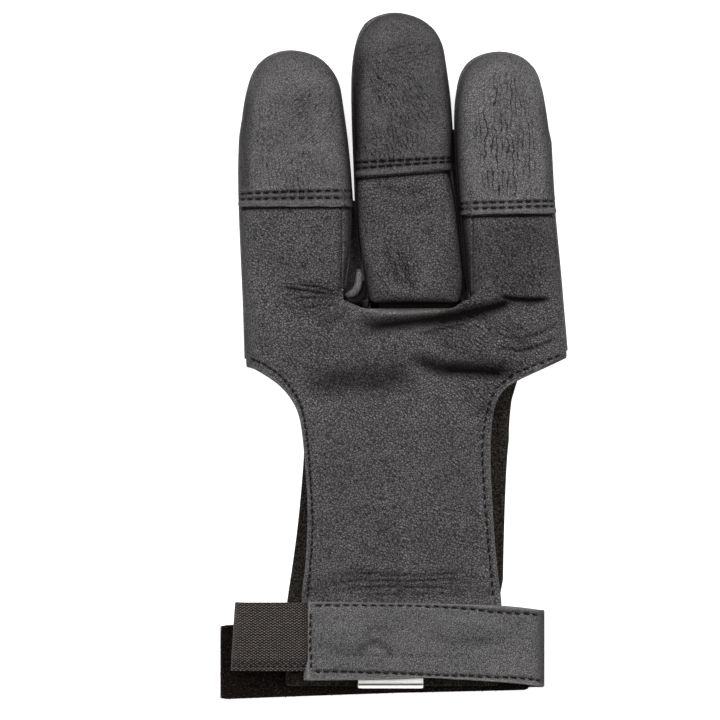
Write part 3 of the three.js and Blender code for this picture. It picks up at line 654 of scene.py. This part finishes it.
def webs_raised(piece):
    """Brings the two webs between the fingers up to the leather beside them and evens them out."""
    places = read(piece)
    x, y, z = places.T
    left = ease(x + 16.0, 0, 0.7) * ease(-7.1 - x, 0, 0.7)
    right = ease(x - 19.8, 0, 0.6) * ease(23.9 - x, 0, 0.6)
    rise = left * np.interp(y, (7.2, 8, 10, 12, 13), (0, 0.7, 1.3, 1.5, 1.6))
    rise += right * np.interp(y, (8.6, 10, 13), (0, 1.3, 1.7))
    places[:, 2] += rise * (z > 6.5)
    write(piece, places)
    shape = bmesh.new()
    shape.from_mesh(piece.data)
    soft = [v for v, (x, y, z) in zip(shape.verts, places)
            if (-18 < x < -5 or 17 < x < 26.5) and 6.5 < y < 15.8 and z > 6]
    for _ in range(14):
        bmesh.ops.smooth_vert(shape, verts=soft, factor=0.5, use_axis_z=True)
    shape.to_mesh(piece.data)
    shape.free()


RIM_Y = 14.3  # where the palm's rolled rim lies


def rim_corners_raised(piece):
    """Draws both ends of the palm's rim up towards the fingertips."""
    places = read(piece)
    x, y = places[:, 0], places[:, 1]
    corner = ease(-8.0 - x, 0, 8) * ease(x + 24, 0, 6) + ease(x - 16.5, 0, 6) * ease(30 - x, 0, 6)
    fade = np.exp(-((y - RIM_Y) / np.where(y < RIM_Y, 6.0, 12.0)) ** 2)
    places[:, 1] += 2.6 * corner * fade
    write(piece, places)


palm = refined("palm_front", "palm_leather", 2, 0.52)
webs_raised(palm)
lay_creases(palm, PALM_CREASES)
rim_corners_raised(palm)
palm_stitches = (
    seam(palm, PALM_ROWS["left"], 1.95, 1.2) + seam(palm, PALM_ROWS["right"], 2.6, 1.4))
# The rolled rim of the palm gets a painted highlight along its top.
palm_rim = [(-15.0, 18.4), (-11.4, 15.0), (-6.5, 13.3), (3.0, 12.9), (12.0, 13.3), (18.0, 13.8)]
dress(palm, "palm_front", palm_hide, palm_rule, palm_stitches,
      highlight_lines=[(palm_rim, 0.8, 0.7)])


# The front of the middle finger, whose lower flange sinks under the palm's rim, painted with shade
# there

MIDDLE_FOLDS = [
    ([(0.5, 32.0), (2.6, 27.0), (4.6, 22.5), (7.4, 17.6)], 1.1, 0.5, 0.35),
    ([(-2.7, 31.8), (0.2, 26.0), (1.6, 18.6)], 0.9, 0.45, 0.3),
    ([(-8.0, 52.0), (3.0, 48.4), (12.0, 51.0)], 1.4, 0.3, 0.25),
    ([(-6.0, 47.0), (4.0, 43.6), (13.0, 45.0)], 1.2, 0.25, 0.2),
]
MIDDLE_DOMES = [
    ((-4.2, 23.5), (4, 8), 12, 0.6), ((13, 25), (6, 10), 0, 0.6), ((-3, 42), (8, 9), 0, 0.4),
]
MIDDLE_CREASES = [
    ((1.5, 25.5), (9, 17), 0, -64, 1.2, 4.5, 0.0, 0.6),
    ((2, 46), (17, 12), 0, 24, 1.2, 3.5, 0.0, 0.35),
    ((13, 30), (8, 18), 0, -40, 1.2, 2.6, 0.0, 0.3),
]


def middle_rule(places, up):
    depths, painted_shade = folded(places, MIDDLE_FOLDS)
    lift = 0.26 * swells(places, 9, 5) + 0.12 * swells(places, 4, 6)
    # The flange under the palm's rim sinks and gets painted shade.
    under = ease(16.3 - places[:, 1], 0, 0.8)
    painted_shade = painted_shade + lip_shadow(places, LIPS["middle"]) + 1.5 * under
    return lift + domed(places, MIDDLE_DOMES) - depths - 1.3 * under, 0.0, painted_shade


middle = refined("middle_front", "middle_leather", 3, 0.42)
lay_creases(middle, MIDDLE_CREASES)
dress(middle, "middle_front", palm_hide, middle_rule)


# The reinforced tips: two stitch rows, a raised lip, hollows and the creases of each; tilt is how far
# the lower edge climbs to the right, then how much darker painted shade makes one tip than the
# lightest, and band the line of painted shade along its darker side

CAPS = {
    "left": {
        "rows": [[(-46.2, 48.4), (-31.2, 48.9), (-13.2, 49.3)],
                 [(-46.2, 46.8), (-31.2, 47.0), (-13.0, 47.3)]],
        "tilt": 0.0, "middle": -30.0, "foot": 44.6, "tip_shade": 0.1,
        "band": [(-44.4, 44), (-44.3, 66), (-42.5, 82)],
        "creases": [((-25, 71), (11, 12), 0, 48, 1.2, 2.6, 0.0, 0.55),
                    ((-35, 68), (10, 15), 0, 104, 1.3, 3.0, 0.0, 0.4),
                    ((-30, 55), (17, 11), 0, 97, 1.25, 4, 0.0, 0.5)],
        "domes": [((-27, 66), (6, 15), 0, -0.5), ((-29, 80), (10, 7), 0, 0.2)],
    },
    "middle": {
        "rows": [[(-11.6, 57.7), (3.3, 58.4), (17.8, 59.2)],
                 [(-11.6, 55.9), (3.3, 57.0), (17.8, 58.1)]],
        "tilt": 0.08, "middle": 2.8, "foot": 54.6, "tip_shade": 0.3,
        "band": [(-10.8, 54), (-10.9, 76), (-9.6, 95)],
        "creases": [((1.5, 78), (19, 10), -60, 122, 1.2, 2.8, 0.0, 0.55),
                    ((0, 62.5), (14, 9), 0, 103, 1.25, 3.5, 0.0, 0.55),
                    ((2.5, 89.5), (12, 5), 15, 14, 1.2, 2.5, 0.0, 0.45)],
        "domes": [((1.5, 96), (8, 5), 0, -0.9), ((5, 76), (5, 14), 0, -0.4)],
    },
    "right": {
        "rows": [[(18.4, 45.4), (34.2, 45.8), (48.9, 46.3)],
                 [(18.4, 43.8), (34.2, 44.2), (48.9, 44.8)]],
        "tilt": 0.02, "middle": 33.4, "foot": 42.4, "tip_shade": 0.0,
        "band": [(46.8, 42), (46.2, 60), (44.0, 80)],
        "creases": [((33.5, 64.5), (12.5, 27), 0, 92, 1.6, 7, 0.0, 0.8),
                    ((35, 48), (16, 5), 0, 90, 1.3, 4, 0.0, 0.5)],
        "domes": [((35, 66), (6, 15), 0, -0.5), ((43, 66), (3, 4), 0, -0.2)],
    },
}


def drawn_in(places):
    """Fits the outlines of the tips: how far each finger's side is drawn in or out along it."""
    x, y = places[:, 0], places[:, 1]
    left = np.interp(y, (66, 71, 78, 83, 86, 89), (0, 0.5, 0.8, 1.2, 1.4, 1.6))
    middle = np.interp(y, (60, 68, 76, 88, 98, 101), (0, 0.8, 1.0, 1.2, 1.2, 0.9))
    right = np.interp(y, (64, 68, 75, 81, 86, 89), (0, 0.6, 0.9, 1.2, 0.6, 0.6))
    shift = left * ease(-30 - x, 0, 14) + middle * ease(x - 3, 0, 9) * (x < 17.3)
    top = 0.35 * ease(y, 95, 103)
    places[:, 0] += shift - right * ease(x - 34, 0, 10)
    places[:, 1] += top


def cap_rule(side, cap):
    def rule(places, up):
        lift = 0.18 * swells(places, 9, cap["middle"]) + domed(places, cap["domes"])
        upper, lower = cap["rows"]
        amid = [((a[0] + b[0]) / 2, (a[1] + b[1]) / 2) for a, b in zip(upper, lower)]
        above = [(x, y + 0.9) for x, y in upper]
        crease = 0.2 * groove(places, upper, 0.5, 0) + 0.2 * groove(places, lower, 0.5, 0)
        crease -= 0.12 * groove(places, amid, 0.45, 0) + 0.12 * groove(places, above, 0.5, 0)
        crease -= 0.25 * groove(places, LIPS[side], 0.8, 0)
        # Painted shade along both stitch rows, on the band of the darker side and over the whole tip.
        painted_shade = 0.3 * groove(places, upper, 0.3, 0) + 0.3 * groove(places, lower, 0.3, 0)
        painted_shade += 0.35 * groove(places, cap["band"], 1.6)
        return lift, crease, painted_shade + cap["tip_shade"]
    return rule


cap_seams = []
for side, cap in CAPS.items():
    solid = side + "_tip"
    piece = refined(solid, side + "_cap", 3, 0.36)
    lay_creases(piece, cap["creases"])
    places = read(piece)
    hang = ease(cap["foot"] + 18 - places[:, 1], 0, 18)
    ragged = 0.25 * swells(places, 2.6, cap["middle"] + 9)
    places[:, 1] += (cap["tilt"] * (places[:, 0] - cap["middle"]) + ragged) * hang
    drawn_in(places)
    write(piece, places)
    stitches = [s for row in cap["rows"] for s in seam(piece, row, 2.65, 1.25)]
    dress(piece, solid, tip_hide, cap_rule(side, cap), stitches)
    cap_seams.append((piece, stitches))


# The backs of the fingers, whose ends stand out a little past the tips at the upper left

def plain_rule(size, seed):
    def rule(places, up):
        return 0.15 * swells(places, size, seed), 0.0, 0.0
    return rule


backs = refined("finger_backs", "back_leather_shell", 2)
places = read(backs)
for low, high, left, right in ((78, 88, -48, -14), (93, 100, -14, 17), (78, 88, 17, 49)):
    inside = (places[:, 0] > left) & (places[:, 0] < right)
    share = ease(places[:, 1], low, high) * inside
    places[:, 0] -= 0.35 * share
    places[:, 1] += 0.45 * share
drawn_in(places)
write(backs, places)
dress(backs, "finger_backs", back_hide, plain_rule(9, 7))

# Seam allowances that close the crotches between the fingers, painted black as the shade there
GUSSETS = [
    # y, left x, right x, height
    [(10.5, -17.5, -7.0, 4.6), (17.0, -17.2, -7.0, 3.4), (24.0, -16.4, -8.0, 2.6),
     (32.0, -15.6, -9.5, 2.4), (40.0, -15.0, -11.0, 2.6), (46.5, -13.8, -12.2, 3.4)],
    [(10.5, 14.5, 23.5, 4.6), (17.0, 15.4, 23.2, 3.4), (28.0, 16.6, 22.6, 2.6),
     (40.0, 16.6, 21.8, 2.4), (56.0, 16.4, 20.6, 2.6), (68.0, 17.6, 18.8, 3.4)],
]
gusset_shape = bmesh.new()
for rows in GUSSETS:
    rails = []
    for y, left, right, z in rows:
        middle_x = (left + right) / 2
        spots = [(left, z), ((left + middle_x) / 2, z - 0.5), (middle_x, z - 1.1),
                 ((right + middle_x) / 2, z - 0.5), (right, z)]
        rails.append([gusset_shape.verts.new(Vector((x, y, h)) * MM) for x, h in spots])
    for lower, upper in zip(rails, rails[1:]):
        for k in range(4):
            gusset_shape.faces.new((lower[k], lower[k + 1], upper[k + 1], upper[k]))
bmesh.ops.subdivide_edges(
    gusset_shape, edges=gusset_shape.edges, cuts=2, smooth=0.5, use_grid_fill=True)
bmesh.ops.solidify(gusset_shape, geom=gusset_shape.faces, thickness=0.8 * MM)
new_piece("crotch_gussets", gusset_shape, shade_black_hide)


# The back cloth and the band round the wrist

cloth = refined("hand_back", "hand_back_cloth", 3)
places = read(cloth)
bulge = np.interp(places[:, 1], (-73.4, -67.4, -25.4, -19.4, -13.4), (0.3, 1.4, 1.4, 0.6, -0.3))
places[:, 0] += bulge * ease(places[:, 0] - 20, 0, 9)
write(cloth, places)
dress(cloth, "hand_back", back_cloth, plain_rule(8, 8), puff=0.05, side_shade=0)
cloth_stitches = seam(cloth, [(31.8, -14.0), (31.5, -22.4), (31.8, -34.4), (32.1, -49.4),
                              (31.9, -70.0)], 2.6, 1.4)

STRAP_ROWS = {
    "top": [(-24.3, -74.7), (1.8, -74.7), (9.9, -75.0), (20.7, -75.6), (27.6, -76.5), (41.7, -77.4),
            (44.1, -77.9)],
    "bottom": [(-24.6, -94.4), (1.8, -95.0), (9.9, -95.6), (24.0, -95.9), (38.4, -96.5),
               (44.7, -97.4)],
    "left": [(-24.9, -75.5), (-25.0, -85.4), (-24.9, -93.8)],
}
STRAP_DOMES = [
    ((-14, -84), (11, 6), 0, 0.4), ((22, -82), (16, 5), 0, 0.4), ((-5.8, -84), (5, 4), 0, -0.4),
]
STRAP_DENT = (-5.8, -90.6)  # middle of the half ring that is pressed into the strap
DENT_RADIUS = 4.4


def strap_rule(places, up):
    lift = 0.2 * swells(places, 15, 9) + 0.08 * swells(places, 6, 10)
    lift = lift + domed(places, STRAP_DOMES)
    imprint = groove(places, [(-24, -89.9), (-13.2, -89.6), (1.8, -89.9), (25.5, -90.2)], 0.4)
    crease = 0.1 * imprint
    for row in STRAP_ROWS.values():
        crease = crease + 0.16 * groove(places, row, 0.6, 0)
    spot = np.hypot(places[:, 0] - STRAP_DENT[0], places[:, 1] - STRAP_DENT[1])
    ring = np.exp(-((spot - DENT_RADIUS) / 1.1) ** 2) * ease(places[:, 1] + 92.6, 0, 5)
    crease = crease + 0.45 * ring - 0.2 * np.exp(-(spot / 2.8) ** 2)
    # Painted shade in the pressed ring, along the imprint and where the strap folds down at its right
    # end.
    fold = ease(places[:, 0], 41.5, 45.5)
    return lift, crease, 0.3 * ring + 0.15 * imprint + 0.35 * fold


strap = refined("wrist_strap", "strap_leather_band", 3, 0.42)
lay_creases(strap, [((5, -86), (40, 10), 0, 20, 1.0, 2.0, 0.0, 0.15)])
places = read(strap)
sag = ease(-22.5 - places[:, 0], 0, 3) * ease(-90 - places[:, 1], 0, 6) * (places[:, 2] > 7)
places[:, 0] -= 1.3 * sag
places[:, 1] -= 0.5 * ease(6 - places[:, 2], 0, 2)
write(strap, places)
strap_stitches = (
    seam(strap, STRAP_ROWS["top"], 2.7, 1.5) + seam(strap, STRAP_ROWS["bottom"], 2.55, 1.5)
    + seam(strap, STRAP_ROWS["left"], 2.4, 1.4, 0.8))
dress(strap, "wrist_strap", strap_hide, strap_rule, strap_stitches, rim=0.6)

# Elastic: a slanting left end and a zigzag selvedge with eyelets along its lower edge
EYELET = 1.75  # from one eyelet to the next
ELASTIC_LOW = -93.9
ELASTIC_MIDDLE = -84.2


def elastic_rule(places, up):
    front = up * (places[:, 2] > 7)
    low = places[:, 1] - ELASTIC_LOW
    eyes = np.zeros(len(places))
    for row, (at, depth) in enumerate(((0.8, 1.7), (1.7, 1.2), (2.5, 0.8))):
        aside = np.abs((places[:, 0] / EYELET + 0.5 * row) % 1 - 0.5) * EYELET
        eyes = np.maximum(eyes, depth * np.exp(-(aside / 0.45) ** 2 - ((low - at) / 0.4) ** 2))
    top_edge = ease(places[:, 1] + 74.9, 0, 0.4)
    loops = 0.5 + 0.5 * np.cos(2 * math.pi * places[:, 0] / 1.1)
    crease = front * (0.3 * eyes + 0.16 * top_edge * loops)
    # Painted shade in the eyelets and between the loops along the top edge.
    return 0.12 * swells(places, 9, 12), crease, front * (eyes + 0.5 * top_edge * loops)


elastic = refined("wrist_elastic", "elastic_band", 4, 0.24, 0.9)
places = read(elastic)
places[:, 1] = ELASTIC_MIDDLE + (places[:, 1] - ELASTIC_MIDDLE) * np.where(places[:, 2] < 8, 0.9, 1)
places[:, 0] += ease(-34 - places[:, 0], 0, 12) * (
    0.15 + 0.065 * (places[:, 1] - ELASTIC_MIDDLE))
write(elastic, places)
dress(elastic, "wrist_elastic", elastic_cloth, elastic_rule, puff=0.05, side_shade=0.2)

# Loop pile: a sheet with tufts of fibre all over it, out to the strap's edges
PILE_MIDDLE = -5.7

pile = refined("strap_lining", "pile_lining_sheet", 3, None, 0.95)
places = read(pile)
places[:, 0] = PILE_MIDDLE + (places[:, 0] - PILE_MIDDLE) * 1.008
upper = places[:, 1] > 0.047 * (places[:, 0] - 5) - 89.6
places[:, 1] += np.where(upper, 0.2, -1.2 - 0.6 * np.clip(places[:, 0] / 45, 0, 1))
write(pile, places)
dress(pile, "strap_lining", pile_cloth, plain_rule(4, 13), puff=0.05, side_shade=0)


def tufts(name, sheet, count, length, material, region):
    """Short leaning fibres on the upper side of a sheet, as many as wanted inside a region."""
    dice = random.Random(5)
    tree = tree_of(sheet)
    shape = bmesh.new()
    while count:
        x = dice.uniform(region[0], region[1])
        y = dice.uniform(region[2], region[3])
        hit, _, _, _ = tree.ray_cast(Vector((x, y, 20)) * MM, Vector((0, 0, -1)))
        lean = Matrix.Rotation(dice.uniform(0, 2 * math.pi), 4, "Z")
        lean = lean @ Matrix.Rotation(math.radians(dice.uniform(25, 80)), 4, "Y")
        reach = length * dice.uniform(0.6, 1.3)
        if hit is None:
            continue
        place = Matrix.Translation(hit) @ lean @ Matrix.Translation((0, 0, reach * 0.4 * MM))
        bmesh.ops.create_cone(
            shape, cap_ends=True, segments=3, radius1=0.13 * MM, radius2=0.03 * MM,
            depth=reach * MM, matrix=place)
        count -= 1
    return new_piece(name, shape, material)


tufts("pile_loops", pile, 4200, 0.9, pile_cloth, (-53, 42, -104, -76))

hooks = refined("hook_tape", "hook_strip", 3, None, 0.9)
dress(hooks, "hook_tape", hook_cloth, plain_rule(5, 14), puff=0.0, side_shade=0)


# The ribbon is folded in two, and a painted shadow line parts its two layers

LABEL_SPLIT = [(-12, -98.55), (10, -98.55)]


def label_rule(places, up):
    split = groove(places, LABEL_SPLIT, 0.28, 0)
    # The split is pressed in a little and painted with shadow.
    return 0.0, 0.25 * split, 1.2 * split


label = refined("size_label", "blank_label", 3, 0.3, 0.95)
dress(label, "size_label", label_cloth, label_rule, puff=0.0, rim=0.2, side_shade=0)


# Curled end of leather in the left crotch: a pale strip over a fold painted darker as shade

def strip(shape, line, width, thick):
    """A flat strip of leather swept along a line of points."""
    line = [Vector(p) for p in line]
    rings = []
    for k, point in enumerate(line):
        along = (line[min(k + 1, len(line) - 1)] - line[max(k - 1, 0)]).normalized()
        side = along.cross(Vector((0, 0, 1))).normalized()
        up = side.cross(along)
        turn = Matrix((side, up, along)).transposed().to_4x4()
        taper = 0.5 + 0.5 * math.sin(math.pi * k / (len(line) - 1)) ** 0.5
        size = Matrix.Diagonal((width / 2 * taper * MM, thick / 2 * MM, 1, 1))
        ring = bmesh.ops.create_circle(
            shape, segments=12, radius=1, matrix=Matrix.Translation(point * MM) @ turn @ size)
        rings.append(list({e for v in ring["verts"] for e in v.link_edges}))
    for a, b in zip(rings, rings[1:]):
        bmesh.ops.bridge_loops(shape, edges=a + b)
    bmesh.ops.holes_fill(shape, edges=rings[0] + rings[-1])


curl_shape = bmesh.new()
strip(curl_shape, [(-10.6, 25.8, 9.5), (-10.5, 24.2, 9.7), (-10.6, 22.4, 9.8), (-10.9, 20.8, 9.8),
                   (-11.6, 19.4, 9.6), (-12.6, 18.6, 9.4), (-13.5, 18.2, 9.1), (-14.3, 17.8, 8.5),
                   (-14.2, 17.0, 7.8)], 2.3, 0.9)
strip(curl_shape, [(-14.3, 17.6, 8.2), (-13.4, 16.8, 8.4), (-12.0, 16.6, 8.3), (-10.6, 17.0, 8.0),
                   (-9.6, 18.2, 7.6), (-9.0, 20.2, 7.2), (-9.0, 22.4, 6.6)], 2.0, 0.8)
curl = new_piece("crotch_curl", curl_shape, tip_hide)
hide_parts("crotch_tab")
# Painted shade on the curl's lower parts, below 9.2 mm.
mark(curl, "crease", 0.95 * ease(9.2 - read(curl)[:, 2], 0, 0.5))


# Threads

threads("palm_thread", [(palm, palm_stitches)], 0.58)
threads("cap_thread", cap_seams, 0.58)
threads("strap_thread", [(strap, strap_stitches)], 0.55)
threads("cloth_thread", [(cloth, cloth_stitches)], 0.45)


# Floor, light and camera

FLOOR_SIZE = 3.0
FLOOR_DROP = 0.1 * MM
CAMERA_PLACE = (-0.0102, -0.00135, 1.507)
CAMERA_LENS = 250  # millimetres: far off and narrow, for the photo's nearly flat perspective

floor_shape = bmesh.new()
bmesh.ops.create_grid(floor_shape, x_segments=1, y_segments=1, size=FLOOR_SIZE)
bmesh.ops.translate(floor_shape, verts=floor_shape.verts, vec=(0, 0, -FLOOR_DROP))
floor_mesh = bpy.data.meshes.new("floor")
floor_shape.to_mesh(floor_mesh)
floor_shape.free()
floor = linked("floor", floor_mesh)
paper, paper_tree, _ = started("White seamless paper")
paper_shader = add(paper_tree, "BsdfPrincipled", {
    "Base Color": linear("c0c0c0"), "Roughness": 0.9, "Specular IOR Level": 0.1,
    "Emission Color": (1, 1, 1, 1), "Emission Strength": 0.75})
add(paper_tree, "OutputMaterial", {"Surface": paper_shader})
floor_mesh.materials.append(paper)


def softbox(name, place, size, power):
    """A soft lamp that faces the middle of the floor."""
    lamp = bpy.data.lights.new(name, "AREA")
    lamp.shape = "RECTANGLE"
    lamp.size, lamp.size_y = size
    lamp.energy = power
    thing = linked(name, lamp)
    thing.location = place
    thing.rotation_euler = (-Vector(place)).to_track_quat("-Z", "Y").to_euler()


softbox("left_softbox", (-0.72, 0.12, 0.88), (0.55, 1.1), 10.5)
softbox("right_softbox", (0.76, 0.08, 0.88), (0.55, 1.1), 13.5)
softbox("top_softbox", (0.0, 0.85, 1.1), (1.0, 0.5), 17.0)

world = bpy.data.worlds.new("Dim studio")
world.use_nodes = True
sky = world.node_tree.nodes["Background"]
sky.inputs["Color"].default_value = (1, 1, 1, 1)
sky.inputs["Strength"].default_value = 0.1
bpy.context.scene.world = world
bpy.context.scene.view_settings.view_transform = "Standard"

lens = bpy.data.cameras.new("camera")
lens.lens = CAMERA_LENS
lens.sensor_width = 36
lens.clip_start = 0.01
camera = linked("camera", lens)
camera.location = CAMERA_PLACE
bpy.context.scene.camera = camera
